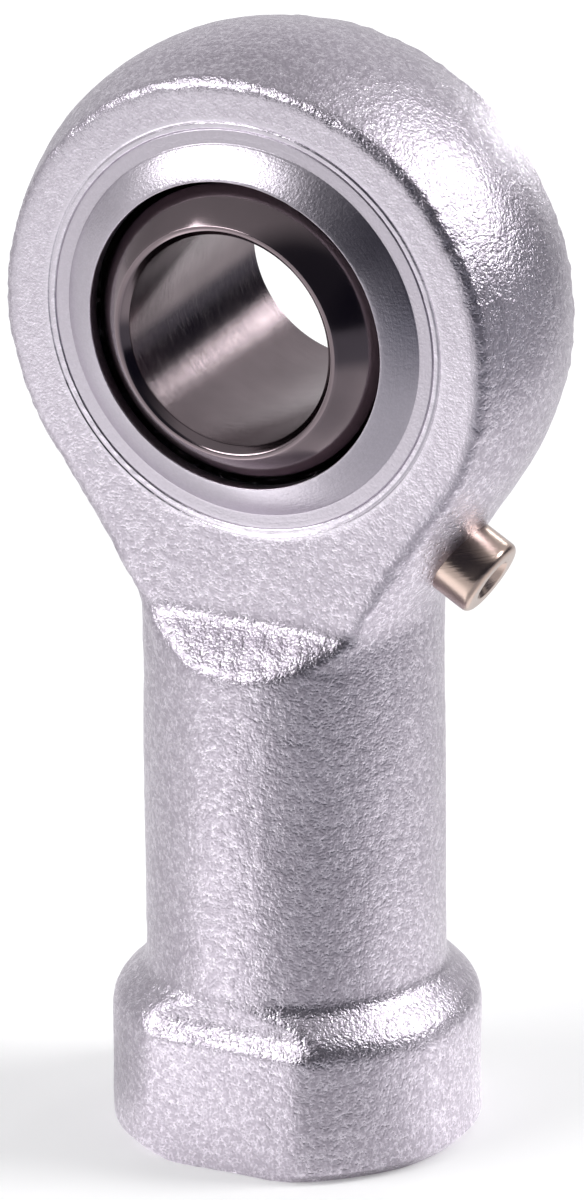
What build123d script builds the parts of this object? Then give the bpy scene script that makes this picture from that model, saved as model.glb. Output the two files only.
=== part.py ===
"""Self-aligning ball bearing rod end, size 16, with an internal thread and a drive-in grease nipple.

The bearing's centre is the origin, the pin's bore runs along Y and the thread points down along -Z.
Every piece is written to parts/ as a STEP file of its own.
"""

import os
from math import asin, cos, degrees, hypot, radians, sin, sqrt, tan

from build123d import *

# Main sizes of the rod end, in millimetres
bore_diameter = 16.0
inner_ring_width = 21.0
head_width = 15.0
head_diameter = 42.0
centre_to_end = 64.0
shank_diameter = 22.0
collar_diameter = 27.0
across_flats = 24.0

# Forged head
crown_radius = 15.0
head_drop = 0.4
flank_angle = 33.0
blank_half_width = 8.0
flank_fillet = 5.0
flank_fillet_share = 0.67
ledge_below_neck = 0.3
ledge_angle = 45.0
ledge_fillet = 1.2
rim_rounding = 0.2

# Collar
shoulder_start = 51.2
shoulder_angle = 45.0
shoulder_fillet = 1.5
shoulder_rounding = 3.0
wrench_flat_top = 54.3
wrench_ledge_angle = 45.0
wrench_ledge_fillet = 2.0
wrench_ledge_clearance = 0.02
foot_chamfer = 0.8

# Share of a wall that a fillet may take up, and how near an edge has to be to count as found
wall_share = 0.9
edge_tolerance = 0.1

# Threaded hole
tap_drill_diameter = 14.0
tap_drill_depth = 32.0
drill_point_angle = 118.0
thread_mouth_diameter = 16.6

# Bearing inside the head
raceway_radius = 16.0
inner_ring_radius = 13.72
bore_chamfer = 0.12
face_rounding = 0.12
ball_diameter = 3.5
balls_per_row = 24
row_offset = 1.9
rolling_clearance = 0.03
groove_clearance = 0.03

# Side shields, pressed from sheet and staked into the head
shield_diameter = 30.8
shield_thickness = 1.1
shield_rim_width = 1.3
shield_step_width = 0.6
shield_step_rise = 0.4
shield_gap = 0.35
shield_rise = 1.5
shield_bulge = 0.12
shield_fit = 0.02
stake_overlap = 0.25
stake_height = 0.3

# Grease nipple, driven into the head's flank
nipple_diameter = 6.0
nipple_tilt = 30.0
nipple_along_flank = 7.2
nipple_protrusion = 2.8
nipple_wall = 2.5
nipple_end_chamfer = 0.5
nipple_fit = 0.01
funnel_diameter = 3.4
funnel_depth = 1.3
throat_diameter = 1.2
throat_length = 0.3
valve_bore_diameter = 2.2
valve_lip = 0.4
check_ball_diameter = 1.9
seat_clearance = 0.015
spring_wire = 0.22
spring_turns = 4.0
grease_channel_diameter = 2.0

# Worked out from the sizes above
head_radius = head_diameter / 2
crown_centre = head_radius - crown_radius
face_y = head_width / 2
ring_half_width = inner_ring_width / 2
shank_radius = shank_diameter / 2
collar_radius = collar_diameter / 2
ball_radius = ball_diameter / 2
ball_centre_radius = raceway_radius - rolling_clearance - ball_radius
row_latitude = degrees(asin(row_offset / ball_centre_radius))
row_radius = ball_centre_radius * cos(radians(row_latitude))
seat_radius = shield_diameter / 2
seat_floor_y = face_y - shield_thickness
shield_crest_y = face_y + shield_rise
shield_edge_y = shield_crest_y - shield_thickness
shield_inner_radius = sqrt((inner_ring_radius + shield_gap) ** 2 - shield_edge_y**2)
nipple_radius = nipple_diameter / 2
nipple_insertion = head_radius - sqrt(raceway_radius**2 - nipple_along_flank**2) - nipple_wall
head_centre = Vector(0, 0, -head_drop)
flank_slope = radians(flank_angle)
flank_length = head_radius / tan(flank_slope)
neck_end = head_drop + (head_radius - shank_radius * cos(flank_slope)) / sin(flank_slope)
neck_side = sqrt(shank_radius**2 - blank_half_width**2)
flat_end = neck_end + ledge_below_neck

PARTS = "parts"


def save(solid, name, colour):
    """Writes one piece to its own STEP file."""
    solid.label = name
    solid.color = Color(*colour)
    export_step(solid, os.path.join(PARTS, name + ".step"))


def outline(*edges):
    """Joins edges end to end into a face."""
    return make_face(Curve() + list(edges))


def chain(*points):
    """A run of straight edges through the points."""
    return [Line(a, b) for a, b in zip(points, points[1:])]


def side_profile(points):
    """Turns (across, up) pairs into points of the XZ plane, seen from the front."""
    return [(across, 0, up) for across, up in points]


def limited_fillet(radius, wall, turn):
    """A fillet's radius at a corner that turns by so many degrees, kept within the wall beside it."""
    return min(radius, wall_share * wall / tan(radians(turn / 2)))


def crown_radius_at(y):
    """Distance from the bearing axis to the crowned rim, at y across the head."""
    return crown_centre + sqrt(crown_radius**2 - y**2)


def crown_section(inner):
    """Section of the head's rim from the line inner out to its crowned surface."""
    corner = crown_radius_at(blank_half_width)
    crown = ThreePointArc((corner, -blank_half_width), (head_radius, 0), (corner, blank_half_width))
    sides = chain(
        (corner, blank_half_width), (inner, blank_half_width), (inner, -blank_half_width), (corner, -blank_half_width)
    )
    return outline(crown, *sides)


def head_blank():
    """The round, crowned head."""
    return Pos(head_centre) * revolve(crown_section(0), Axis.Y)


def flank(side):
    """A slab whose crowned edge runs straight down from the round head at the flank angle."""
    outward = Vector(side * cos(flank_slope), 0, -sin(flank_slope))
    downward = Vector(-side * sin(flank_slope), 0, -cos(flank_slope))
    plane = Plane(origin=head_centre, x_dir=outward, z_dir=downward)
    return extrude(plane * crown_section(-head_diameter), flank_length)


def neck_blank():
    """The wedge that narrows from the head to the shank."""
    return flank(1) & flank(-1)


def shank_blank():
    """Round shank and collar, turned about Z, with a sloping shoulder between them."""
    slope = radians(shoulder_angle)
    shoulder = (collar_radius - shank_radius) / sin(slope)
    shoulder_drop = shoulder * cos(slope)
    hollow_share = shoulder_fillet / (shoulder_fillet + shoulder_rounding)
    hollow_radius = limited_fillet(shoulder_fillet, shoulder * hollow_share, shoulder_angle)
    swell_radius = limited_fillet(shoulder_rounding, shoulder * (1 - hollow_share), shoulder_angle)
    corner_top = -shoulder_start
    corner_bottom = -(shoulder_start + shoulder_drop)
    points = side_profile(
        [
            (0, -shank_radius),
            (shank_radius, -shank_radius),
            (shank_radius, corner_top),
            (collar_radius, corner_bottom),
            (collar_radius, -centre_to_end + foot_chamfer),
            (collar_radius - foot_chamfer, -centre_to_end),
            (0, -centre_to_end),
            (0, -shank_radius),
        ]
    )
    face = outline(*chain(*points))
    hollow = face.vertices().sort_by_distance(points[2])[0]
    face = fillet(hollow, hollow_radius)
    swell = face.vertices().sort_by_distance(points[3])[0]
    face = fillet(swell, swell_radius)
    return revolve(face, Axis.Z)


def wrench_envelope():
    """Space between the two wrench flats, closing in over a ledge to the shank."""
    half = across_flats / 2
    near_shank = shank_radius + wrench_ledge_clearance
    slope = radians(wrench_ledge_angle)
    ledge = abs(half - near_shank) / sin(slope)
    ledge_top = -wrench_flat_top + ledge * cos(slope)
    rounding = limited_fillet(wrench_ledge_fillet, ledge, wrench_ledge_angle)
    right =[(half, -2 * centre_to_end), (half, -wrench_flat_top), (near_shank, ledge_top), (near_shank, head_diameter)]
    left = [(-across, up) for across, up in reversed(right)]
    points = [(0, across, up) for across, up in right + left]
    face = outline(*chain(*points, points[0]))
    for corner in (points[2], points[5]):
        face = fillet(face.vertices().sort_by_distance(corner)[0], rounding)
    return extrude(face, collar_diameter, both=True)


def flat_cut(side):
    """What is cut away beside the head: its flat face, ending in a sloping ledge on the shank."""
    reach = head_diameter
    run = shank_diameter
    foot = (side * (face_y + run * sin(radians(ledge_angle))), -flat_end - run * cos(radians(ledge_angle)))
    corner = (side * face_y, -flat_end)
    points = [(side * face_y, reach), corner, foot, (side * reach, foot[1]), (side * reach, reach)]
    points = [(0, across, up) for across, up in points]
    face = outline(*chain(*points, points[0]))
    face = fillet(face.vertices().sort_by_distance(points[1])[0], ledge_fillet)
    return extrude(face, reach, both=True)


def bearing_seat():
    """Spherical raceway with a stepped seat on each side, closed in by the staked lip."""
    lip_radius = seat_radius - stake_overlap
    points = [
        (0, -head_width),
        (lip_radius, -head_width),
        (lip_radius, -face_y),
        (seat_radius, -face_y + stake_height),
        (seat_radius, -seat_floor_y),
        (0, -seat_floor_y),
        (0, -head_width),
    ]
    seat = revolve(outline(*chain(*points)), Axis.Y)
    return Sphere(raceway_radius) + seat + mirror(seat, Plane.XZ)


def threaded_hole():
    """Tap-drilled hole with its drill point and its countersunk mouth."""
    drill_radius = tap_drill_diameter / 2
    mouth_radius = thread_mouth_diameter / 2
    mouth_height = mouth_radius - drill_radius
    floor = -centre_to_end + tap_drill_depth
    tip = floor + drill_radius / sin(radians(drill_point_angle / 2)) * cos(radians(drill_point_angle / 2))
    points = [
        (0, -centre_to_end),
        (mouth_radius, -centre_to_end),
        (drill_radius, -centre_to_end + mouth_height),
        (drill_radius, floor),
        (0, tip),
        (0, -centre_to_end),
    ]
    return revolve(outline(*chain(*side_profile(points))), Axis.Z)


def nipple_plane():
    """Plane on the flank's surface where the nipple is driven in, facing outwards."""
    tilt = radians(nipple_tilt)
    outward = Vector(cos(flank_slope), 0, -sin(flank_slope))
    downward = Vector(-sin(flank_slope), 0, -cos(flank_slope))
    seat = head_centre + outward * head_radius + downward * nipple_along_flank
    return Plane(origin=seat, x_dir=(0, 1, 0), z_dir=(cos(tilt), 0, -sin(tilt)))


def nipple_hole():
    """Hole for the nipple, with the channel that leads grease to the raceway."""
    socket = extrude(Circle(nipple_radius), amount=nipple_diameter)
    socket += extrude(Circle(nipple_radius), amount=-nipple_insertion)
    channel = extrude(Circle(grease_channel_diameter / 2), amount=-raceway_radius)
    return nipple_plane() * (socket + channel)


def rim_edges(body):
    """Outer edges of the two flat faces, apart from the straight ones above the ledges."""
    found = []
    for side in (1, -1):
        flat = body.faces().filter_by(Axis.Y).sort_by_distance((0, side * face_y, head_radius))[0]
        for edge in flat.outer_wire().edges():
            above_ledge = edge.geom_type == GeomType.LINE and abs(edge.center().X) < edge_tolerance
            if not above_ledge:
                found.append(edge)
    return found


def neck_edges(body):
    """Edges where the neck's flanks run into the round shank."""
    found = []
    for edge in body.edges():
        middle = edge.center()
        on_shank = abs(hypot(middle.X, middle.Y) - shank_radius) < edge_tolerance
        at_neck = abs(middle.Z + neck_end) < flank_fillet / 2
        if on_shank and at_neck and abs(middle.Y) < face_y:
            found.append(edge)
    return found


def rod_end_body():
    """The forged body: crowned head, neck, shank and collar, with every machined hole."""
    body = head_blank() + neck_blank() + shank_blank()
    body = fillet(neck_edges(body), min(flank_fillet, flank_fillet_share * neck_side))
    body = body & wrench_envelope()
    body = body - flat_cut(1) - flat_cut(-1)
    body = fillet(rim_edges(body), rim_rounding)
    return body - bearing_seat() - threaded_hole() - nipple_hole()


def shield(side):
    """Dished side shield: flat staked rim, small step, then a bulging cone that ends round the inner ring."""
    outer = seat_radius - shield_fit
    step_foot = seat_radius - shield_rim_width
    step_top = step_foot - shield_step_width
    chamfer = stake_overlap + shield_fit
    back = seat_floor_y + shield_fit
    step_y = face_y + shield_step_rise
    bulge_r = (shield_inner_radius + step_top) / 2 + shield_bulge
    bulge_y = (shield_crest_y + step_y) / 2 + shield_bulge
    front = chain(
        (outer, back),
        (outer, face_y - stake_height - shield_fit),
        (outer - chamfer, face_y),
        (step_foot, face_y),
        (step_top, step_y),
    )
    cone = ThreePointArc((step_top, step_y), (bulge_r, bulge_y), (shield_inner_radius, shield_crest_y))
    rear = chain(
        (shield_inner_radius, shield_crest_y),
        (shield_inner_radius, shield_edge_y),
        (step_top, back),
        (outer, back),
    )
    ring = revolve(outline(*front, cone, *rear), Axis.Y)
    return ring if side > 0 else mirror(ring, Plane.XZ)


def inner_ring():
    """Inner ring with a part-spherical outside and one groove for each row of balls."""
    bore = bore_diameter / 2
    shoulder = sqrt(inner_ring_radius**2 - ring_half_width**2)
    points = [
        (bore, -ring_half_width + bore_chamfer),
        (bore, ring_half_width - bore_chamfer),
        (bore + bore_chamfer, ring_half_width),
        (shoulder, ring_half_width),
    ]
    edges = chain(*points)
    edges.append(ThreePointArc((shoulder, ring_half_width), (inner_ring_radius, 0), (shoulder, -ring_half_width)))
    edges += chain((shoulder, -ring_half_width), (bore + bore_chamfer, -ring_half_width), points[0])
    face = outline(*edges)
    corners = face.vertices().filter_by(lambda v: abs(v.X - shoulder) < face_rounding and abs(v.Y) > ring_half_width / 2)
    face = fillet(corners, face_rounding)
    ring = revolve(face, Axis.Y)
    for side in (1, -1):
        groove = Pos(row_radius, side * row_offset) * Circle(ball_radius + groove_clearance)
        ring -= revolve(groove, Axis.Y)
    return ring


def ball(row_y, turn):
    """One ball of a row, at an angle round the bearing axis."""
    return Pos(row_radius * cos(turn), row_y, row_radius * sin(turn)) * Sphere(ball_radius)


def nipple_profile_levels():
    """Heights inside the nipple, measured outwards from the flank's surface."""
    throat_top = nipple_protrusion - funnel_depth
    throat_bottom = throat_top - throat_length
    seat_bottom = throat_bottom - (valve_bore_diameter - throat_diameter) / 2
    lip_top = -nipple_insertion + seat_clearance + valve_lip
    return throat_top, throat_bottom, seat_bottom, lip_top


def grease_nipple():
    """Nipple body: funnel mouth, throat, seat for the check ball and a rolled lip under the spring."""
    throat_top, throat_bottom, seat_bottom, lip_top = nipple_profile_levels()
    outer = nipple_radius - nipple_fit
    throat = throat_diameter / 2
    bore = valve_bore_diameter / 2
    back = lip_top - valve_lip
    points = [
        (outer, back),
        (outer, nipple_protrusion - nipple_end_chamfer),
        (outer - nipple_end_chamfer, nipple_protrusion),
        (funnel_diameter / 2, nipple_protrusion),
        (throat, throat_top),
        (throat, throat_bottom),
        (bore, seat_bottom),
        (bore, lip_top),
        (throat, lip_top),
        (throat, back),
        (outer, back),
    ]
    return nipple_plane() * revolve(outline(*chain(*side_profile(points))), Axis.Z)


def check_ball_height():
    """Height of the check ball's centre where it rests on the conical seat."""
    _, throat_bottom, _, _ = nipple_profile_levels()
    cone_tip = throat_bottom + throat_diameter / 2
    return cone_tip - (check_ball_diameter / 2 + seat_clearance) * sqrt(2)


def nipple_check_ball():
    """Ball that closes the nipple."""
    return nipple_plane() * Pos(0, 0, check_ball_height()) * Sphere(check_ball_diameter / 2)


def nipple_spring():
    """Small coil spring between the nipple's lip and its check ball."""
    _, _, _, lip_top = nipple_profile_levels()
    wire = spring_wire / 2
    coil = valve_bore_diameter / 2 - wire - 4 * seat_clearance - spring_wire / 2
    reach = check_ball_diameter / 2 + wire + seat_clearance
    top = check_ball_height() - sqrt(reach**2 - coil**2)
    bottom = lip_top + wire + seat_clearance
    height = top - bottom
    path = Helix(pitch=height / spring_turns, height=height, radius=coil)
    section = Plane(origin=path @ 0, z_dir=path % 0) * Circle(wire)
    return nipple_plane() * Pos(0, 0, bottom) * sweep(section, path, is_frenet=True)


def main():
    os.makedirs(PARTS, exist_ok=True)
    zinc = (0.72, 0.72, 0.75)
    steel = (0.42, 0.39, 0.38)
    nickel = (0.66, 0.60, 0.54)
    save(rod_end_body(), "rod_end_body", zinc)
    save(shield(-1), "front_shield", zinc)
    save(shield(1), "rear_shield", zinc)
    save(inner_ring(), "inner_ring", steel)
    save(grease_nipple(), "grease_nipple", nickel)
    save(nipple_check_ball(), "nipple_check_ball", steel)
    save(nipple_spring(), "nipple_spring", steel)
    step = radians(360 / balls_per_row)
    for number in range(balls_per_row):
        name = f"{number + 1:02d}"
        save(ball(-row_offset, number * step), "front_ball_" + name, steel)
        save(ball(row_offset, (number + 0.5) * step), "rear_ball_" + name, steel)


if __name__ == "__main__":
    main()
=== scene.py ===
"""Looks of a size 16 rod end: forged body, dished shields, inner ring, balls and grease nipple.

Everything is in metres in the frame's own axes: the bearing's centre is the origin, its bore runs along Y
and the shank points down along -Z.
"""

from math import acos, asin, cos, pi, radians, sin, sqrt, tan

import bmesh
import bpy
import numpy as np
from bpy.props import FloatProperty, FloatVectorProperty, PointerProperty
from mathutils import Matrix, Vector


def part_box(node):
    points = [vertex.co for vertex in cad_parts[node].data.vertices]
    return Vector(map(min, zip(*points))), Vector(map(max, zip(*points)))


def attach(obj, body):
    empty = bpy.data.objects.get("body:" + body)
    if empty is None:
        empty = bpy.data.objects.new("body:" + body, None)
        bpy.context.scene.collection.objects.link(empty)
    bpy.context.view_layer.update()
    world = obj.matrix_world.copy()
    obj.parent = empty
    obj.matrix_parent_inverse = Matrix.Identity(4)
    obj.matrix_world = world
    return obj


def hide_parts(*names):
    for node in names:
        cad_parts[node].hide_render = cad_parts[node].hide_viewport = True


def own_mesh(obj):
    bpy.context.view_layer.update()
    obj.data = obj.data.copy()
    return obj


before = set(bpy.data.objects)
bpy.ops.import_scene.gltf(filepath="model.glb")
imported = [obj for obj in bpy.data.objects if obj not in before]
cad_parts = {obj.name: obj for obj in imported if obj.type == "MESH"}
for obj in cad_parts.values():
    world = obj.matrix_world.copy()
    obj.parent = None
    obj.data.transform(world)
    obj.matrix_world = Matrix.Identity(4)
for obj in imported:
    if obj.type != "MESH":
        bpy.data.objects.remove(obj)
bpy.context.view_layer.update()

bl_info = {
    "name": "Rod End",
    "version": (1, 0, 0),
    "blender": (4, 5, 0),
    "location": "View3D > Sidebar > Rod End",
    "description": "Builds the surfaces and finishes of a rod end with a self-aligning ball bearing",
    "category": "Add Mesh",
}

MM = 0.001
BODY_LOW, BODY_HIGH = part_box("rod_end_body")
RING_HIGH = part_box("inner_ring")[1]
SHIELD_LOW, SHIELD_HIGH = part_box("front_shield")
BORE_AXIS = (0, 1, 0)
TURNED_SEGMENTS = 288
NIPPLE_SEGMENTS = 96

# Random ripples by name: shortest and longest wave in millimetres, the seed that draws them, and how far the
# ripple is lowered, so that little of it is cut off at the true surface.
RIPPLES = {
    "grain": (0.85, 1.9, 3, 1.4),
    "broad": (5, 14, 5, 1.4),
    "lumps": (1.0, 3.2, 8, 1.0),
    "dents": (0.7, 2.4, 10, 1.0),
    "stake": (0.35, 1.1, 12, 0.6),
    "burr": (0.6, 2.0, 21, 1.2),
}
# Slow waves of the worn rim: share of its height, waves in a turn round the head, and phase.
RIM_WAVES = ((0.5, 2, 0.6), (0.3, 5, 1.9), (0.2, 11, 0.0), (0.14, 29, 0.7), (0.1, 47, 2.0))

# Soft boxes: name, the place that they aim at in metres, azimuth and elevation in degrees, distance, width
# and height in metres, brightness. The small card behind the head shows only in the rear part of the bore.
LAMPS = (
    ("Key softbox", (0, 0, -0.02), -40, 32.5, 1.5, 1.02, 0.58, 5.8),
    ("Rim softbox", (0, 0, -0.02), 115, 37, 1.5, 0.46, 0.74, 11.0),
    ("Bore card", (-0.006, 0.021, -0.0053), 154, 22, 0.05, 0.013, 0.013, 7.0),
)
# Patches on the studio's walls, later ones over earlier: azimuth and elevation, the angles from there up to
# which the patch is full and at which it has faded out, all in degrees, and its grey.
WALL_PATCHES = (
    (-153, 0, 25, 60, 0.85),
    (30, 8, 42, 60, 0.035),
    (80, -2, 22, 36, 0.015),
    (145, 4, 14, 24, 0.02),
    (165, 47, 8, 40, 0.68),
    (105, 71, 5, 12, 2.4),
)
# How much bluer than grey a patch is.
PATCH_BLUE = 0.012
# Painted shade on the floor, which only the metal's reflections see: sectors that look darker in the metal.
# Azimuth, inner and outer angle from it in degrees, the distances in metres between which the painted shade
# grows, and how dark it gets.
FLOOR_PAINTED_SHADES = (
    (42, 18, 55, 0.01, 0.04, 0.44),
    (70, 35, 75, 0.06, 0.18, 0.75),
    (142, 12, 26, 0.2, 0.35, 0.85),
)
# The colour that the floor's painted shade goes to where it is full, seen only in the metal.
FLOOR_PAINTED_SHADE_COLOUR = (0.02, 0.03, 0.07, 1)
# Painted light on the floor, a glow that only the metal's reflections see. Sectors that glow: the same five
# numbers, then how bright they are at the first distance and at the second. The whole floor glows a little
# too, and all of this painted light ends between two distances.
FLOOR_PAINTED_LIGHTS = ((120, 25, 55, 0.03, 0.055, 0.7, 0.22), (-38, 15, 48, 0.065, 0.1, 0.14, 0.42))
FLOOR_PAINTED_BASE_LIGHT = 0.1
FLOOR_PAINTED_LIGHT_END = (0.11, 0.16)
# Distances between which the floor's paleness for the camera goes from its near to its far value.
FLOOR_PALE = (0.08, 0.5)
# Painted streak of light below the key softbox, a glow on the floor that only the metal's reflections see:
# how far it lies aside of the shank's axis, half its width at its edge and at full strength, and the
# distances along it between which it begins and fades.
FLOOR_PAINTED_STREAK = {
    "aside": 0.5 * MM,
    "half_width": 14 * MM,
    "half_core": 8 * MM,
    "begins": (-5 * MM, 50 * MM),
    "fades": (40 * MM, 200 * MM),
}


def length(name, millimetres, description):
    """A length property, given in millimetres and kept in metres."""
    default = millimetres * MM
    return FloatProperty(name=name, description=description, default=default, unit="LENGTH", precision=5)


def angle(name, degrees, description):
    """An angle property, given in degrees and kept in radians."""
    return FloatProperty(name=name, description=description, default=radians(degrees), unit="ROTATION")


def share(name, value, description):
    """A plain number from 0 to 1."""
    return FloatProperty(name=name, description=description, default=value, min=0.0, max=1.0)


def brightness(name, value, description):
    """A plain number from 0 up."""
    return FloatProperty(name=name, description=description, default=value, min=0.0)


def colour(name, value, description):
    """A colour property with three channels."""
    kept = {"subtype": "COLOR", "size": 3, "min": 0, "max": 1}
    return FloatVectorProperty(name=name, description=description, default=value, **kept)


class BodySizes(bpy.types.PropertyGroup):
    """Sizes of the forged body."""

    head_radius: length("Head radius", BODY_HIGH.x / MM, "Largest radius of the crowned head")
    head_drop: length("Head drop", (BODY_HIGH.x - BODY_HIGH.z) / MM, "From the bore to the head's centre")
    foot: length("Centre to foot", -BODY_LOW.z / MM, "From the bore's axis to the foot")
    wrench: length("Half across flats", BODY_HIGH.y / MM, "From the middle to a wrench flat")
    half_width: length("Half head width", 7.5, "From the middle to a flat face of the head")
    blank_half: length("Half blank width", 8.0, "From the middle to the blank's uncut side")
    edge_round: length("Flat edge rounding", 0.7, "How widely a flat face's edge is worn on the neck")
    ledge_edge: length("Ledge edge rounding", 0.5, "How widely a ledge's lower edge is worn")
    ledge_ends: length("Ledge end rounding", 4.0, "How fast that rounding grows towards the ledge's ends")
    wrench_edge: length("Wrench edge rounding", 0.45, "How widely a wrench flat's edge is worn")
    join_turn: angle("Join angle", 32.0, "Angle from straight down at which the neck leaves the head")
    level_from: length("Level rows", 28.0, "Depth from which the skin's rows lie level")
    turn_from: length("Edge turn start", 30.0, "Depth from which the skin's columns turn to the wrench flats")
    turn_to: length("Edge turn end", 50.0, "Depth at which they have turned")
    crown_radius: length("Crown radius", 15.0, "Radius of the head's crowned edge across its width")
    flank_angle: angle("Flank angle", 33.0, "Lean of the neck's flanks from upright")
    flank_round: length("Flank rounding", 0.9, "How widely the flanks run into the shank")
    shank: length("Shank radius", 11.0, "Radius of the round shank")
    collar: length("Collar radius", 13.5, "Radius of the collar at the foot")
    shoulder: length("Shoulder depth", 51.2, "Depth at which the shank starts to widen")
    shoulder_hollow: length("Shoulder hollow", 1.5, "Radius where the shank meets the shoulder")
    shoulder_swell: length("Shoulder swell", 3.0, "Radius where the shoulder meets the collar")
    ledge: length("Ledge depth", 22.32, "Depth at which the head's flat faces end")
    ledge_round: length("Ledge rounding", 1.2, "Radius between a flat face and its ledge")
    wrench_top: length("Wrench flat top", 54.3, "Depth at which the wrench flats start")
    wrench_round: length("Wrench ledge rounding", 2.0, "Radius between the shank and the wrench ledge")
    foot_chamfer: length("Foot chamfer", 0.8, "Chamfer round the foot")
    rim_round: length("Rim rounding", 1.15, "Width of the rounding between a flat face and the crown")
    rim_wander: length("Rim wander", 0.14, "How far the rim strays from its true line")
    rim_swell: length("Rim swell", 0.42, "How much fuller the crown is beside a flat face")
    rim_lumps: length("Rim lumps", 0.05, "Height of the dents along the rim")
    worn_from: angle("Worn from", 34.0, "Angle from straight down at which the rim's wear starts")
    worn_fully: angle("Worn fully", 60.0, "Angle at which the rim's wear is full")
    ledge_lumps: length("Ledge lumps", 0.04, "Height of the lumps on the ledges")
    seat: length("Seat radius", 15.4, "Radius of the seat that a shield sits in")
    seat_depth: length("Seat depth", 1.1, "Depth of that seat below the flat face")
    lip: length("Lip radius", 15.15, "Inner radius of the lip staked over a shield")
    lip_depth: length("Lip depth", 0.3, "Thickness of the staked lip")
    raceway: length("Raceway radius", 16.0, "Radius of the spherical raceway")
    stake: length("Stake radius", 15.72, "Radius of the mark that the staking tool left")
    stake_depth: length("Stake depth", 0.06, "Depth of that mark")
    stake_half: length("Half stake width", 0.11, "Half the width of that mark")
    stake_rough: length("Stake roughness", 0.028, "Height of the ragged places along it")
    thread_crest: length("Thread crest radius", 7.0, "Inner radius of the internal thread")
    thread_depth: length("Thread depth", 1.0, "Height of the thread's form")
    thread_pitch: length("Thread pitch", 2.0, "Pitch of the thread")
    thread_length: length("Thread length", 28.0, "Depth of the full thread")
    drill_depth: length("Drill depth", 32.0, "Depth of the drilled hole")
    mouth: length("Thread mouth radius", 8.3, "Radius of the countersink at the foot")
    cell: length("Cell", 0.34, "Width of one cell of the skin's grid")
    grain: length("Grain height", 0.012, "Height of the forged skin's grain")
    unevenness: length("Unevenness", 0.035, "Height of the forged skin's broad waves")


class BearingSizes(bpy.types.PropertyGroup):
    """Sizes of the shields and the inner ring."""

    ring_half: length("Half ring width", RING_HIGH.y / MM, "From the middle to a face of the inner ring")
    ring_radius: length("Ring radius", 13.72, "Radius of the inner ring's part-spherical outside")
    bore: length("Bore radius", 8.0, "Radius of the bore")
    ring_round: length("Ring edge rounding", 0.13, "Rounding of the inner ring's edges")
    bore_chamfer: length("Bore chamfer", 0.5, "Width of the chamfer round the bore on the ring's faces")
    chamfer_depth: length("Chamfer depth", 0.65, "How deep that chamfer reaches into the bore")
    chamfer_round: length("Chamfer rounding", 0.35, "Rounding between that chamfer and the face")
    groove: length("Groove radius", 1.78, "Radius of a ball groove")
    row_radius: length("Row radius", 14.0925, "Radius of the circle through a row's ball centres")
    row_offset: length("Row offset", 1.9, "Distance of a row from the middle plane")
    shield_radius: length("Shield radius", SHIELD_HIGH.x / MM, "Outer radius of a shield")
    shield_crest: length("Shield crest", -SHIELD_LOW.y / MM, "How far a shield reaches from the middle plane")
    shield_back: length("Shield back", -SHIELD_HIGH.y / MM, "From the middle plane to a shield's back")
    shield_gap: length("Shield gap", 0.35, "Gap between a shield's edge and the inner ring")
    shield_thick: length("Shield thickness", 1.1, "Thickness of the sheet")
    shield_step: length("Step radius", 14.1, "Radius where the shield's flat rim ends")
    shield_cone: length("Cone radius", 13.5, "Radius where the cone starts on the shield's back")
    shield_rise: length("Step height", 0.12, "Height of the small step between rim and cone")
    shield_bulge: length("Bulge", 0.08, "How far the cone bulges")
    rim_chamfer: length("Rim chamfer", 0.27, "Width of the chamfer round a shield's rim")
    rim_chamfer_depth: length("Rim chamfer depth", 0.32, "Depth of that chamfer")
    burr: length("Burr", 0.012, "Height of the burr on a shield's cut edge")
    burr_width: length("Burr width", 0.25, "Width of that burr")
    # These lines are painted highlights: a lighter colour along the ring's edges.
    painted_highlight_width: length("Burnish width", 0.04, "Half width of the burnished lines on the ring's edges")


class NippleSizes(bpy.types.PropertyGroup):
    """Sizes of the drive-in grease nipple."""

    radius: length("Nipple radius", 2.99, "Outer radius of the nipple")
    hole: length("Hole radius", 3.0, "Radius of the hole it is driven into")
    along: length("Along the flank", 7.2, "Distance down the flank from the head's tangent")
    tilt: angle("Nipple tilt", 30.0, "How far its axis points below level")
    protrusion: length("Protrusion", 2.8, "How far it stands out of the flank")
    insertion: length("Insertion", 4.21, "How deep it is driven in")
    funnel: length("Funnel radius", 1.7, "Radius of the funnel's mouth")
    funnel_depth: length("Funnel depth", 1.3, "Depth of the funnel")
    throat: length("Throat radius", 0.6, "Radius of the throat below the funnel")
    throat_length: length("Throat length", 0.3, "Length of the throat")
    valve: length("Valve bore radius", 1.1, "Radius of the bore that holds the check ball")
    lip: length("Lip", 0.4, "Thickness of the rolled lip under the spring")
    edge: length("End rounding", 0.5, "Rounding of the outer end")
    channel: length("Channel radius", 1.0, "Radius of the grease channel to the raceway")
    channel_length: length("Channel length", 4.2, "Length of that channel")
    ball: length("Check ball radius", 0.95, "Radius of the check ball")
    clearance: length("Clearance", 0.015, "Room between the nipple's parts")
    wire: length("Wire radius", 0.11, "Radius of the spring's wire")
    coil: length("Coil radius", 0.82, "Radius of the spring's turns")
    turns: FloatProperty(name="Turns", description="Turns of the check ball's spring", default=4.0, min=1.0)
    travel: length("Ball travel", 0.8, "How far the check ball moves in")


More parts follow.
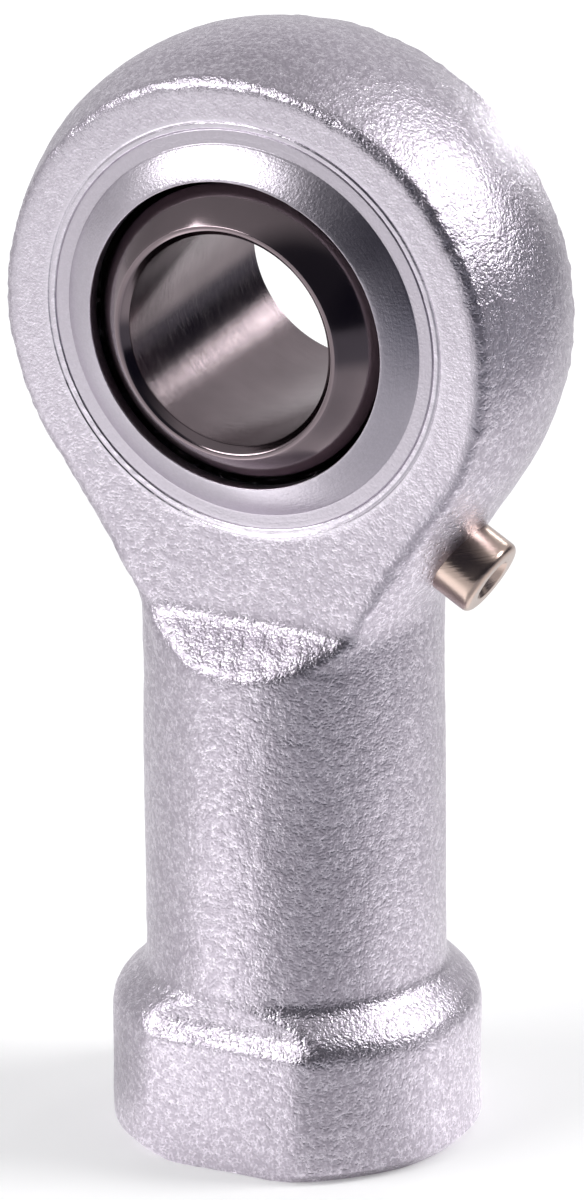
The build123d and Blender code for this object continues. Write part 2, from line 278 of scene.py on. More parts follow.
class FinishColours(bpy.types.PropertyGroup):
    """Colours and gloss of the finishes."""

    zinc: colour("Zinc", (0.79, 0.737, 0.815), "Zinc plating on the forged skin")
    zinc_dim: colour("Dim zinc", (0.48, 0.435, 0.50), "Dull flecks in the zinc plating")
    sheet: colour("Shield zinc", (0.61, 0.565, 0.63), "Zinc plating on the pressed shields")
    bearing: colour("Bearing steel", (0.245, 0.197, 0.212), "Polished hardened steel of the inner ring")
    ball: colour("Ball steel", (0.60, 0.60, 0.62), "Polished balls")
    nickel: colour("Nickel", (0.52, 0.405, 0.355), "Nickel plating of the nipple")
    spring: colour("Spring steel", (0.42, 0.41, 0.41), "Drawn wire of the valve spring")
    floor: colour("Floor", (0.80, 0.80, 0.80), "Pale floor")
    skin_roughness: share("Skin roughness", 0.28, "Roughness of the forged skin")
    roughness_spread: share("Roughness spread", 0.12, "How much the flecks change the roughness")
    fleck_share: share("Fleck share", 0.95, "How dull the flecks are")
    blotch_share: share("Blotch share", 0.12, "How dull the broad blotches are")
    grain_depth: length("Grain depth", 0.16, "Depth of the plated grain")
    sheet_roughness: share("Sheet roughness", 0.32, "Roughness of the shields")
    steel_roughness: share("Steel roughness", 0.15, "Roughness of the inner ring")
    ball_roughness: share("Ball roughness", 0.08, "Roughness of the balls")
    nickel_roughness: share("Nickel roughness", 0.24, "Roughness of the nipple")
    spring_roughness: share("Spring roughness", 0.28, "Roughness of the spring's wire")


class StageSettings(bpy.types.PropertyGroup):
    """Camera, lamps and floor."""

    azimuth: angle("Azimuth", 27.0884, "Direction that the camera stands in, from the front face towards +X")
    elevation: angle("Elevation", 21.733, "Height of the camera above level")
    roll: angle("Roll", -0.5289, "Turn of the camera about its own line of sight")
    distance: length("Distance", 1600.0, "From the aim to the camera")
    view_height: length("View height", 86.872, "Height of the picture at the aim")
    aim_across: length("Aim across", -0.1275, "Aim's place along X")
    aim_up: length("Aim up", -23.5862, "Aim's place along Z")
    floor_radius: length("Floor radius", 1500.0, "Radius of the round floor")
    floor_gap: length("Floor gap", 0.02, "Gap between the foot and the floor")
    floor_glow: share("Floor glow", 0.25, "How much paler the floor looks to the camera")
    far_glow: share("Far floor glow", 0.62, "How much paler the far floor looks to the camera")
    # The streak is painted light: the floor glows there in the metal's reflections only.
    streak_glow: brightness("Streak glow", 1.2, "Brightness of the streak on the floor")
    streak_azimuth: angle("Streak side", -27.0, "Azimuth of that streak")
    backdrop: colour("Backdrop", (1.0, 1.0, 1.0), "Background that the camera sees beyond the floor")
    sky: colour("Sky", (0.43, 0.43, 0.44), "Grey studio walls")


def smooth_max(a, b, width):
    """The larger of a and b. Where they differ by less than width, the squared overlap over 4 widths comes on
    top, which rounds the corner between them."""
    overlap = np.maximum(width - np.abs(a - b), 0.0)
    return np.maximum(a, b) + overlap**2 / (4 * width)


def smooth_min(a, b, width):
    """The smaller of a and b, rounded in the same way."""
    return -smooth_max(-a, -b, width)


def smooth_step(low, high, value):
    """0 below low, 1 above high and 3t^2 - 2t^3 between them."""
    t = np.clip((value - low) / (high - low), 0.0, 1.0)
    return t * t * (3 - 2 * t)


def bell(value, middle, width):
    """1 at the middle, and e to the minus square of the distance over the width away from it."""
    return np.exp(-(((value - middle) / width) ** 2))


def ripple(points, name, waves=64):
    """Random smooth height of about -1 to 1, lowered: the sum of plane waves of random direction, length and
    phase, as RIPPLES says for the name."""
    shortest, longest, seed, lowered = RIPPLES[name]
    chance = np.random.default_rng(seed)
    heading = chance.normal(size=(waves, 3))
    heading /= np.linalg.norm(heading, axis=1)[:, None]
    wave_length = chance.uniform(shortest * MM, longest * MM, waves)
    phase = chance.uniform(0, 2 * pi, waves)
    return np.sin(points @ (2 * pi * heading / wave_length[:, None]).T + phase).sum(1) / sqrt(waves) - lowered


def round_axis(radius, angle, height):
    """Points round an upright axis: radius times cosine, radius times sine, and the height."""
    return np.stack(np.broadcast_arrays(radius * np.cos(angle), radius * np.sin(angle), height), axis=-1)


def on_circle(radius, angle):
    """Points of a section: radius times cosine, and radius times sine."""
    return round_axis(radius, angle, 0.0)[..., :2]


def round_bore(radius, turn, y, drop=0.0):
    """Points round a line along Y that lies drop below the bore: radius times the sine of the angle from
    straight down, y, and radius times its cosine down from the line."""
    return np.stack(np.broadcast_arrays(radius * np.sin(turn), y, -drop - radius * np.cos(turn)), axis=-1)


def rounded(corners, radii, closed=False, steps=5):
    """A profile whose corners become arcs: each arc turns evenly between its two tangent points."""
    points = np.array(corners, float)
    last = len(points) - 1
    runs = []
    for i, radius in enumerate(radii):
        if radius == 0 or (not closed and i in (0, last)):
            runs.append(points[i][None])
            continue
        back = points[i - 1] - points[i]
        ahead = points[(i + 1) % len(points)] - points[i]
        back = back / np.linalg.norm(back)
        ahead = ahead / np.linalg.norm(ahead)
        half = acos(np.clip(back @ ahead, -1, 1)) / 2
        middle = back + ahead
        centre = points[i] + middle / np.linalg.norm(middle) * radius / sin(half)
        start = points[i] + back * radius / tan(half) - centre
        end = points[i] + ahead * radius / tan(half) - centre
        turn = pi - 2 * half
        t = np.linspace(0, 1, steps + 1)[:, None]
        runs.append(centre + (np.sin((1 - t) * turn) * start + np.sin(t * turn) * end) / sin(turn))
    return np.concatenate(runs)


def divided(profile, step, closed=False):
    """The same profile with every run cut evenly into pieces no longer than step."""
    starts = profile if closed else profile[:-1]
    ends = np.roll(profile, -1, axis=0) if closed else profile[1:]
    counts = np.maximum(1, np.ceil(np.linalg.norm(ends - starts, axis=1) / step)).astype(int)
    run = np.repeat(np.arange(len(starts)), counts)
    place = np.arange(counts.sum()) - np.repeat(np.cumsum(counts) - counts, counts)
    points = starts[run] + (place / counts[run])[:, None] * (ends - starts)[run]
    return points if closed else np.vstack([points, profile[-1:]])


def grid_faces(rows, columns, close_rows=True, close_columns=True):
    """The quads between neighbouring points of a grid, going round where a direction closes."""
    i = np.arange(rows if close_rows else rows - 1)
    j = np.arange(columns if close_columns else columns - 1)
    i, j = (a.ravel() for a in np.meshgrid(i, j, indexing="ij"))
    k, l = (i + 1) % rows, (j + 1) % columns
    return np.stack([i * columns + j, i * columns + l, k * columns + l, k * columns + j], axis=1)


def make_piece(name, points, *face_sets):
    """A closed mesh object from points and arrays of faces: doubles merged and faces turned outwards."""
    used, places = np.unique(np.concatenate([f.ravel() for f in face_sets]), return_inverse=True)
    faces = []
    start = 0
    for face_set in face_sets:
        faces += places[start : start + face_set.size].reshape(face_set.shape).tolist()
        start += face_set.size
    mesh = bpy.data.meshes.new(name)
    mesh.from_pydata(points[used].tolist(), [], faces)
    work = bmesh.new()
    work.from_mesh(mesh)
    bmesh.ops.remove_doubles(work, verts=work.verts, dist=MM * 1e-4)
    bmesh.ops.recalc_face_normals(work, faces=work.faces)
    work.to_mesh(mesh)
    work.free()
    piece = bpy.data.objects.new(name, mesh)
    bpy.context.scene.collection.objects.link(piece)
    return piece


def smooth(piece, sharp_angle=35):
    """Smooth shading, with edges that turn by more than sharp_angle degrees left sharp."""
    piece.data.shade_smooth()
    piece.data.set_sharp_from_angle(angle=radians(sharp_angle))


def read_points(mesh, what="co"):
    """The mesh's points, or their normals, as an array with a row for each."""
    values = np.zeros(len(mesh.vertices) * 3)
    mesh.vertices.foreach_get(what, values)
    return values.reshape(-1, 3)


def write_points(mesh, points):
    """Puts the points back into the mesh."""
    mesh.vertices.foreach_set("co", points.astype(np.float32).ravel())
    mesh.update()


def write_mask(mesh, name, values):
    """Keeps a number from 0 to 1 at each point of the mesh, for its material to read."""
    attribute = mesh.attributes.new(name, "FLOAT", "POINT")
    attribute.data.foreach_set("value", values.astype(np.float32))


def bore_axes(toward=1):
    """Axes for turning a profile round the bore: two across it, then the bore's own, ahead or back."""
    return np.array([(1, 0, 0), (0, 0, 1), (0, toward, 0)], float)


def turned(profile, segments, axes, origin=(0, 0, 0)):
    """Points of a profile of (radius, height) turned round an axis: radius times the cosine and sine of the
    angle along the first two axes, plus height along the third."""
    around = np.linspace(0, 2 * pi, segments, endpoint=False)
    return np.array(origin) + round_axis(profile[:, :1], around, profile[:, 1:]) @ np.asarray(axes)


def turned_piece(name, profile, segments, axes, origin=(0, 0, 0), closed=True):
    """A closed piece from a profile turned round an axis."""
    points = turned(profile, segments, axes, origin).reshape(-1, 3)
    return make_piece(name, points, grid_faces(len(profile), segments, close_rows=closed))


def finish_piece(piece, body, slot_name, material, *nodes):
    """Gives the piece smooth shading and its material, and lets it stand for its nodes and move with their
    body.
    The slot name is not used."""
    smooth(piece)
    piece.data.materials.clear()
    piece.data.materials.append(material)
    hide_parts(*nodes)
    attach(piece, body)


def crown(s, y):
    """Radius of the crowned rim at y across the head: an arc whose middle touches the head's radius."""
    return s.head_radius - s.crown_radius + np.sqrt(s.crown_radius**2 - y**2)


def head_reach(s, turn, y):
    """Distance of the skin from the head's centre line, turn being the angle from straight down: the crown's
    radius, and below the flank's tangent the same over the cosine of the angle beyond it."""
    beyond = np.minimum(np.abs(turn) - (pi / 2 - s.flank_angle), 0.0)
    return crown(s, y) / np.cos(beyond)


def rim_stray(s, turn, y):
    """How far the worn rim strays: slow waves round the head on a slight swell. Both fade away from the flat
    faces, with the sixth and twelfth power of the distance from the middle, and towards the neck."""
    waves = sum(height * np.sin(count * turn + phase) for height, count, phase in RIM_WAVES)
    near_flat = np.abs(y) / s.half_width
    above_neck = smooth_step(s.worn_from, s.worn_fully, np.abs(turn))
    return (s.rim_wander * waves * near_flat**6 + s.rim_swell * near_flat**12) * above_neck


def turned_radius(s, depth):
    """Radius of the shank, shoulder and collar at a depth below the bore, from their rounded profile."""
    widen = s.collar - s.shank
    corners = [
        (0, s.shank),
        (s.shoulder, s.shank),
        (s.shoulder + widen, s.collar),
        (s.foot - s.foot_chamfer, s.collar),
        (s.foot, s.collar - s.foot_chamfer),
        (s.foot + s.collar, s.collar - s.foot_chamfer - s.collar),
    ]
    profile = rounded(corners, [0, s.shoulder_hollow, s.shoulder_swell, s.foot_chamfer / 3, 0, 0], steps=12)
    return np.interp(depth, profile[:, 0], profile[:, 1])


def flat_limit(s, depth):
    """Half the thickness left between the head's flat faces at a depth: the head's, and then a ledge at 45
    degrees that runs out to the shank."""
    corners = [(0, s.half_width), (s.ledge, s.half_width), (s.ledge + s.shank, s.half_width + s.shank)]
    profile = rounded(corners, [0, s.ledge_round, 0], steps=8)
    return np.interp(depth, profile[:, 0], profile[:, 1], right=1.0)


def wrench_limit(s, depth):
    """Half the thickness left between the wrench flats at a depth, with a ledge at 45 degrees above them that
    starts just outside the round shank."""
    outside, edge = s.shank + 0.02 * MM, 0.12 * MM
    top = s.wrench_top - (s.wrench - s.shank)
    corners = [(0, outside), (top, outside), (s.wrench_top, s.wrench), (1.0, s.wrench)]
    profile = rounded(corners, [0, s.wrench_round, edge, 0], steps=8)
    return np.interp(depth, profile[:, 0], profile[:, 1])


def stem_radius(s, around, depth):
    """Distance of the skin from the shank's axis in the direction around, at a depth: the flanks' crowned
    wedge joined smoothly to the turned shank, and both cut by the head's flat faces and the wrench flats.
    A flank's place solves the square equation of a ray that meets the crown's arc."""
    across, forward = np.abs(np.cos(around)), np.sin(around)
    slope = np.maximum(across * cos(s.flank_angle), 1e-9)
    offset = (depth - s.head_drop) * sin(s.flank_angle) - (s.head_radius - s.crown_radius)
    square = slope**2 + forward**2
    inside = np.maximum((slope * offset) ** 2 - square * (offset**2 - s.crown_radius**2), 0.0)
    sideways = np.maximum(np.abs(forward), 1e-6)
    flank = np.minimum((np.sqrt(inside) - slope * offset) / square, s.blank_half / sideways)
    skin = smooth_max(flank, turned_radius(s, depth), s.flank_round)
    on_ledge = smooth_step(s.ledge - 0.8 * MM, s.ledge + 0.4 * MM, depth)
    ledge_edge = s.ledge_edge + s.ledge_ends * (1 - sideways)
    edge = s.edge_round + (ledge_edge - s.edge_round) * on_ledge
    skin = smooth_min(skin, flat_limit(s, depth) / sideways, edge)
    return smooth_min(skin, wrench_limit(s, depth) / sideways, s.wrench_edge)


def seat_profile(s):
    """Half section of the hole through the head, from the raceway's middle to the flat face: spherical
    raceway, stepped seat, staked lip and the mark that the staking tool left beside it."""
    flat, floor = s.half_width, s.half_width - s.seat_depth
    raceway = on_circle(s.raceway, np.linspace(0, asin(floor / s.raceway), 12))
    inner, outer = s.stake - s.stake_half, s.stake + s.stake_half
    corners = [raceway[-1], (s.seat, floor), (s.seat, flat - s.lip_depth)]
    # The staked metal: radius, height above the flat face and rounding, the last two in millimetres.
    staked = [
        (s.lip, -0.08, 0.05),
        (s.lip + 0.12 * MM, 0.015, 0.06),
        (inner - 0.06 * MM, 0.01, 0.05),
        (inner, -0.01, 0),
        (s.stake, -s.stake_depth / MM, 0.03),
        (outer, 0, 0.04),
        (outer + 0.15 * MM, 0, 0),
    ]
    corners += [(radius, flat + height * MM) for radius, height, _ in staked]
    lip = rounded(corners, [0, 0, 0, *(rounding * MM for _, _, rounding in staked)], steps=3)
    return np.vstack([raceway, divided(lip[1:], s.cell)])


def head_grid(s):
    """The head's points on a grid: one column for each direction round the bore, one row for each place
    along the section from the raceway's middle over the front, the crown and the back and home again. The rim
    is a quadratic curve from the flat face over the sharp corner to the crown. Returns the points, the number
    of the columns that open into the neck, and the rows of the two flats' ends."""
    seat = seat_profile(s)
    join_turn = s.join_turn
    near_rim = s.half_width - 0.85 * s.rim_round
    reach = head_reach(s, join_turn, s.half_width) - s.rim_round
    join_x, join_z = reach * sin(join_turn), -s.head_drop - reach * cos(join_turn)
    neck_columns = int(2 * join_x / s.cell) + 1
    other = int((2 * pi - 2 * join_turn) * s.head_radius / s.cell)
    turn = np.linspace(join_turn, 2 * pi - join_turn, other + 1)[1:-1]
    turn = np.concatenate([np.linspace(-join_turn, join_turn, neck_columns), turn])
    signed = np.where(turn > pi, turn - 2 * pi, turn)

    def worn(y):
        """Distance of the worn skin from the head's centre line at y."""
        return head_reach(s, signed, y) + rim_stray(s, signed, y)

    corner, shoulder = worn(s.half_width), worn(near_rim)
    flat_end = corner - s.rim_round
    flat_edge = round_bore(flat_end, signed, -s.half_width, s.head_drop)
    flat_edge[:neck_columns, 0] = np.linspace(-join_x, join_x, neck_columns)
    flat_edge[:neck_columns, 2] = join_z
    around = np.arctan2(flat_edge[:, 0], -flat_edge[:, 2])
    hole = round_bore(seat[:, :1], around, -seat[:, 1:])
    flat_rows = max(3, int((s.head_radius * 0.9 - seat[-1, 0]) / s.cell))
    part = np.linspace(0, 1, flat_rows + 1)[1:, None, None]
    flat = hole[-1] + part * (flat_edge - hole[-1])
    t = np.linspace(0, 1, 6)[1:, None]
    start, middle, end = (1 - t) ** 2, 2 * t * (1 - t), t**2
    rim_radius = start * flat_end + middle * corner + end * shoulder
    rim = round_bore(rim_radius, signed, -((start + middle) * s.half_width + end * near_rim), s.head_drop)
    y = np.linspace(-near_rim, near_rim, int(2 * near_rim / s.cell))[1:-1, None]
    over = round_bore(worn(y), signed, y, s.head_drop)
    front = np.concatenate([hole, flat, rim])
    rows = np.concatenate([front, over, front[:0:-1] * np.array([1, -1, 1])])
    first = len(hole) + len(flat) - 1
    last = len(front) + len(over) + len(rim)
    return rows, neck_columns, first, last


def corner_angle(s, depth):
    """Direction of the edge columns of the stem: they follow the flat face's edge down the neck, and then
    turn to the edge of the wrench flat."""
    edge = (crown(s, s.half_width) - (depth - s.head_drop) * sin(s.flank_angle)) / cos(s.flank_angle)
    chord = sqrt(s.shank**2 - s.half_width**2)
    on_neck = np.arctan2(s.half_width, smooth_max(edge, np.full_like(edge, chord), 0.5 * MM))
    on_collar = asin(s.wrench / s.collar)
    blend = smooth_step(s.turn_from, s.turn_to, depth)
    return on_neck + (on_collar - on_neck) * blend


def stem_rows(s, start):
    """Rows of the neck, shank and collar below the loop start, down to the foot's edge. Every point keeps
    its share of the way between the edge columns, and its radius is the skin's, plus what is left of the
    start's own offset from it, which fades out over the first rows."""
    around = np.arctan2(start[:, 1], start[:, 0])
    depth = -start[:, 2]
    neck_rows = int((s.level_from - depth.min()) / s.cell)
    v = (np.arange(1, neck_rows + 1) / neck_rows)[:, None]
    neck_depth = depth + (s.level_from - depth) * v
    edge_start = s.foot - s.foot_chamfer * 1.2
    levels = np.arange(s.level_from + s.cell, edge_start, s.cell)
    below = np.concatenate([levels, np.linspace(edge_start, s.foot, 7)])[:, None] + np.zeros_like(depth)
    depths = np.vstack([neck_depth, below])
    v = np.vstack([v, np.ones((len(below), 1))])
    first_corner = corner_angle(s, depth.min() + 0 * depth)
    corner = corner_angle(s, depths)
    side = np.where(np.abs(around) < pi / 2, 1, -1)
    from_side = np.where(side > 0, around, np.sign(around) * pi - around)
    on_side = np.abs(from_side) <= first_corner * 1.0001
    held = np.clip(from_side / first_corner, -1, 1) * corner
    opening, first_opening = pi / 2 - corner, pi / 2 - first_corner
    line = np.clip(np.tan(pi / 2 - np.abs(around)) / np.tan(first_opening), -1, 1)
    spread = (1 - v) * np.arctan(line * np.tan(opening)) + v * line * opening
    on_flank = np.where(side > 0, held, np.sign(around) * pi - held)
    angles = np.where(on_side, on_flank, np.sign(around) * (pi / 2 - spread))
    own = np.hypot(start[:, 0], start[:, 1]) - stem_radius(s, around, depth)
    radius = stem_radius(s, angles, depths) + own * np.maximum(1 - 4 * v, 0) ** 2
    return round_axis(radius, angles, -depths)


def thread_rows(s, around):
    """Rows of the threaded hole, from its mouth to the drill point, and the point itself. The thread is a
    wave of the height over the pitch plus the angle over a full turn, cut flat at its crests and roots."""
    rows_per_turn, flat_crest, slope, drill_half_angle = 6, 0.18, 0.62, radians(59)
    up = np.linspace(0, s.thread_length, int(s.thread_length / (s.thread_pitch / rows_per_turn)))[:, None]
    wave = np.abs(((up / s.thread_pitch - around / (2 * pi)) % 1) * 2 - 1)
    form = np.clip((wave - flat_crest) / slope, 0, 1)
    runout = 1 - smooth_step(s.thread_length - 1.5 * s.thread_pitch, s.thread_length, up)
    thread = s.thread_crest + s.thread_depth * form * runout
    plain = np.linspace(s.thread_length, s.drill_depth, 4)[1:, None] + 0 * around
    drill_tip = s.drill_depth + s.thread_crest / tan(drill_half_angle)
    t = np.linspace(0, 1, 6)[1:-1, None] + 0 * around
    heights = np.vstack([up + 0 * around, plain, s.drill_depth + t * (drill_tip - s.drill_depth)])
    bored = np.full_like(plain, s.thread_crest)
    radius = np.vstack([np.maximum(thread, s.mouth - up), bored, s.thread_crest * (1 - t)])
    return round_axis(radius, around, heights - s.foot), np.array([[0.0, 0.0, drill_tip - s.foot]])


def body_mesh(s):
    """The forged body as one closed skin: the head's grid with the block of cells over the neck left out,
    rows of stem that carry on from the block's edge, the foot, and the threaded hole up its middle."""
    head, neck_columns, first, last = head_grid(s)
    rows, columns = head.shape[:2]
    head_points = head.reshape(-1, 3)
    number = np.arange(rows * columns).reshape(rows, columns)
    faces = grid_faces(rows, columns)
    row, column = faces[:, 0] // columns, faces[:, 0] % columns
    edge = neck_columns - 1
    over_neck = (row >= first) & (row < last) & (column < edge)
    front, right = number[first, :edge], number[first:last, edge]
    back, left = number[last, edge:0:-1], number[last:first:-1, 0]
    loop = np.concatenate([front, right, back, left])
    count = len(loop)
    stem = stem_rows(s, head_points[loop])
    outline = stem[-1]
    even = np.linspace(0, 2 * pi, count, endpoint=False) + np.arctan2(outline[0, 1], outline[0, 0])
    outline_angle = np.unwrap(np.arctan2(outline[:, 1], outline[:, 0]))
    t = np.array([0.04, 0.25, 0.5, 0.75, 0.96, 1.0])[:, None]  # shares of the way in over the foot
    radius = np.hypot(outline[:, 0], outline[:, 1])
    foot_angle = outline_angle + t * (even - outline_angle)
    foot = round_axis(radius + t * (s.mouth - radius), foot_angle, -s.foot)
    tube = np.concatenate([stem, foot])
    base = rows * columns
    tube_faces = grid_faces(len(tube), count, close_rows=False) + base
    own = base + np.arange(count)
    join = np.stack([loop, np.roll(loop, -1), np.roll(own, -1), own], axis=1)
    hole, tip = thread_rows(s, even[::2])
    half = count // 2
    outer = base + (len(tube) - 1) * count + np.arange(count)
    inner = base + len(tube) * count + np.arange(half)
    i = np.arange(half)
    o0, o1, o2 = outer[2 * i], outer[2 * i + 1], outer[(2 * i + 2) % count]
    n0, n1 = inner[i], inner[(i + 1) % half]
    narrow = np.vstack([np.stack(f, axis=1) for f in ((o0, o1, n0), (o1, n1, n0), (o1, o2, n1))])
    hole_faces = grid_faces(len(hole), half, close_rows=False) + inner[0]
    top = inner[0] + (len(hole) - 1) * half + np.arange(half)
    tip_number = np.full(half, inner[0] + len(hole) * half)
    fan = np.stack([top, np.roll(top, -1), tip_number], axis=1)
    points = np.concatenate([head_points, tube.reshape(-1, 3), hole.reshape(-1, 3), tip])
    face_sets = faces[~over_neck], tube_faces, join, narrow, hole_faces, fan
    return make_piece("rod_end_body_skin", points, *face_sets)


def machined_faces(s, points):
    """Masks of what was cut after forging, found by place with a little room round it: the two flat faces,
    and all in the holes and on the foot."""
    x, y, z = points.T
    from_bore, from_shank = np.hypot(x, z), np.hypot(x, y)
    flat = (np.abs(np.abs(y) - s.half_width) < 0.12 * MM) & (z > -s.ledge + 0.3 * MM)
    head_hole = (from_bore < s.stake + 0.3 * MM) & (np.abs(y) < s.half_width + 0.1 * MM)
    stem_hole = (from_shank < s.mouth + 0.2 * MM) & (z < -s.foot + s.drill_depth + 6 * MM)
    foot = (z < -s.foot + 0.05 * MM) & (from_shank < s.wrench - 0.5 * MM)
    return flat & ~head_hole, head_hole | stem_hole | foot


def grain_share(s, points):
    """How strong the skin's fine grain is: full on the forging, less on the flat faces, where it grows
    towards the neck, and hardly any inside the holes."""
    in_hole, least_on_flat, most_on_flat = 0.15, 0.45, 0.85
    flat, hole = machined_faces(s, points)
    towards_neck = smooth_step(4 * MM, 19 * MM, -points[:, 2])
    on_flat = least_on_flat + (most_on_flat - least_on_flat) * towards_neck
    return np.where(hole, in_hole, np.where(flat, on_flat, 1.0))


def skin_height(s, points):
    """How far the forged skin lies below its true surface: orange-peel grain, broad unevenness, lumps on the
    ledges under the flat faces, and dents along the rim. The lumps fade in at the top of a ledge, and out
    below it and towards the middle plane."""
    flat, hole = machined_faces(s, points)
    y, z = points[:, 1], points[:, 2]
    lumps = ripple(points * np.array([1, 1, 1.6]), "lumps")
    ledge = smooth_step(s.ledge - 0.5 * MM, s.ledge + 0.4 * MM, -z)
    ledge = ledge * (1 - smooth_step(s.ledge + 2.2 * MM, s.ledge + 4.5 * MM, -z))
    ledge = ledge * smooth_step(6.8 * MM, 7.6 * MM, np.abs(y))
    below_flat = s.half_width - np.abs(y)
    on_head = z > -s.ledge
    rim = bell(below_flat, 0.4 * s.rim_round, 0.5 * s.rim_round) * on_head
    height = s.grain * ripple(points, "grain") + s.unevenness * ripple(points, "broad")
    height = height * np.where(on_head, smooth_step(0.0, 1.6 * MM, below_flat), 1.0)
    height = height + s.ledge_lumps * ledge * lumps + s.rim_lumps * rim * ripple(points, "dents")
    return np.where(flat | hole, 0.0, np.minimum(height, 0.0))


def stake_damage(s, points):
    """Ragged places of the staked lip and its mark, mostly at the lower left of each flat face."""
    worst_turn, spread, least = -0.9, 0.5, 0.35
    x, y, z = points.T
    ring = bell(np.hypot(x, z), s.stake - 0.25 * MM, 0.45 * MM)
    here = ring * (np.abs(y) > s.half_width - 0.3 * MM) * (np.abs(y) < s.half_width + 0.1 * MM)
    lower_left = least + (1 - least) * bell(np.arctan2(x, -z), worst_turn, spread)
    return s.stake_rough * here * lower_left * ripple(points, "stake")


def nipple_frame(s, n):
    """Axes of the nipple, its own last, and the point where its axis leaves the flank."""
    slope = s.flank_angle
    outward = np.array([cos(slope), 0, -sin(slope)])
    downward = np.array([-sin(slope), 0, -cos(slope)])
    seat = np.array([0, 0, -s.head_drop]) + outward * s.head_radius + downward * n.along
    axis = np.array([cos(n.tilt), 0, -sin(n.tilt)])
    across = np.array([0.0, 1.0, 0.0])
    return np.array([across, np.cross(axis, across), axis]), seat


def cut_nipple_hole(s, n, piece):
    """Cuts the nipple's hole and the grease channel behind it out of the body."""
    axes, seat = nipple_frame(s, n)
    bottom = -n.insertion
    end = bottom - n.channel_length
    corners = [(0, n.protrusion), (n.hole, n.protrusion), (n.hole, bottom)]
    corners += [(n.channel, bottom), (n.channel, end), (0, end)]
    cutter = turned_piece("nipple_cutter", np.array(corners), 72, axes, seat, closed=False)
    cut = piece.modifiers.new("nipple_hole", "BOOLEAN")
    cut.operation = "DIFFERENCE"
    cut.solver = "MANIFOLD"
    cut.object = cutter
    bpy.context.view_layer.objects.active = piece
    bpy.ops.object.modifier_apply(modifier=cut.name)
    bpy.data.objects.remove(cutter)


def shield_profile(b):
    """Closed section of a shield as (radius, distance from the middle plane): flat staked rim, small step,
    cone that bulges by a parabola, and the sheet's cut edge."""
    edge_back = b.shield_crest - b.shield_thick
    inner = sqrt((b.ring_radius + b.shield_gap) ** 2 - edge_back**2)
    face = b.shield_back + b.shield_thick - 0.02 * MM
    step = np.array([b.shield_step - b.shield_rise, face + b.shield_rise])
    crest = np.array([inner, b.shield_crest])
    run = crest - step
    t = np.linspace(0.1, 0.9, 9)[:, None]
    bulge = np.array([-run[1], run[0]]) / np.linalg.norm(run) * b.shield_bulge
    bulge = bulge * np.sign(bulge.sum())
    cone = (crest + step) / 2 + (t - 0.5) * run + 4 * t * (1 - t) * bulge
    corners = [
        (b.shield_radius, b.shield_back),
        (b.shield_radius, face - b.rim_chamfer_depth),
        (b.shield_radius - b.rim_chamfer, face),
        (b.shield_step, face),
        step,
        *cone,
        crest,
        (inner, edge_back),
        (b.shield_cone, b.shield_back),
    ]
    radii = [0.05, 0.05, 0.08, 0.06, 0.05, *[0] * len(cone), 0.07, 0.1, 0.3]
    return divided(rounded(corners, [r * MM for r in radii], closed=True, steps=4), 0.22 * MM, closed=True)


def ring_profile(b):
    """Closed section of the inner ring as (radius, distance along the bore): bore, chamfers, faces and the
    part-spherical outside with a groove for each row of balls. A groove's edge lies where its circle meets
    the sphere, by the law of cosines."""
    shoulder = sqrt(b.ring_radius**2 - b.ring_half**2)
    row = np.array([b.row_radius, b.row_offset])
    row_reach, row_turn = np.linalg.norm(row), np.arctan2(b.row_offset, b.row_radius)
    groove_edge = acos((b.ring_radius**2 + row_reach**2 - b.groove**2) / (2 * b.ring_radius * row_reach))
    land = np.linspace(asin(b.ring_half / b.ring_radius), row_turn + groove_edge, 28)
    land = on_circle(b.ring_radius, land)
    first = land[-1] - row
    last = on_circle(b.ring_radius, row_turn - groove_edge) - row
    begin, end = np.arctan2(first[1], first[0]), np.arctan2(last[1], last[0])
    groove = row + on_circle(b.groove, np.linspace(begin % (2 * pi), end % (2 * pi), 14)[1:-1])
    waist = on_circle(b.ring_radius, np.linspace(row_turn - groove_edge, 0, 5)[:-1])
    upper = np.vstack([land[1:], groove, waist])
    outside = np.vstack([upper, [(b.ring_radius, 0)], upper[::-1] * np.array([1, -1])])
    chamfer = b.bore + b.bore_chamfer
    bore_end = b.ring_half - b.chamfer_depth
    corners = [(chamfer, -b.ring_half), (b.bore, -bore_end), (b.bore, bore_end), (chamfer, b.ring_half)]
    corners += [(shoulder, b.ring_half), *outside, (shoulder, -b.ring_half)]
    edge, wide = b.ring_round, b.chamfer_round
    radii = [wide, edge, edge, wide, edge, *[0] * len(outside), edge]
    return divided(rounded(corners, radii, closed=True, steps=8), 0.3 * MM, closed=True)


def nipple_profile(n):
    """Closed section of the nipple as (radius, height out of the flank): funnel, throat, conical seat for
    the check ball, valve bore and the lip that holds the spring."""
    throat_top = n.protrusion - n.funnel_depth
    throat_bottom = throat_top - n.throat_length
    back = -n.insertion + n.clearance
    corners = [
        (n.radius, back),
        (n.radius, n.protrusion),
        (n.funnel, n.protrusion),
        (n.throat, throat_top),
        (n.throat, throat_bottom),
        (n.valve, throat_bottom - (n.valve - n.throat)),
        (n.valve, back + n.lip),
        (n.throat, back + n.lip),
        (n.throat, back),
    ]
    radii = [0.1 * MM, n.edge, 0.1 * MM, 0.05 * MM, 0, 0, 0, 0, 0]
    return divided(rounded(corners, radii, closed=True, steps=7), 0.25 * MM, closed=True)


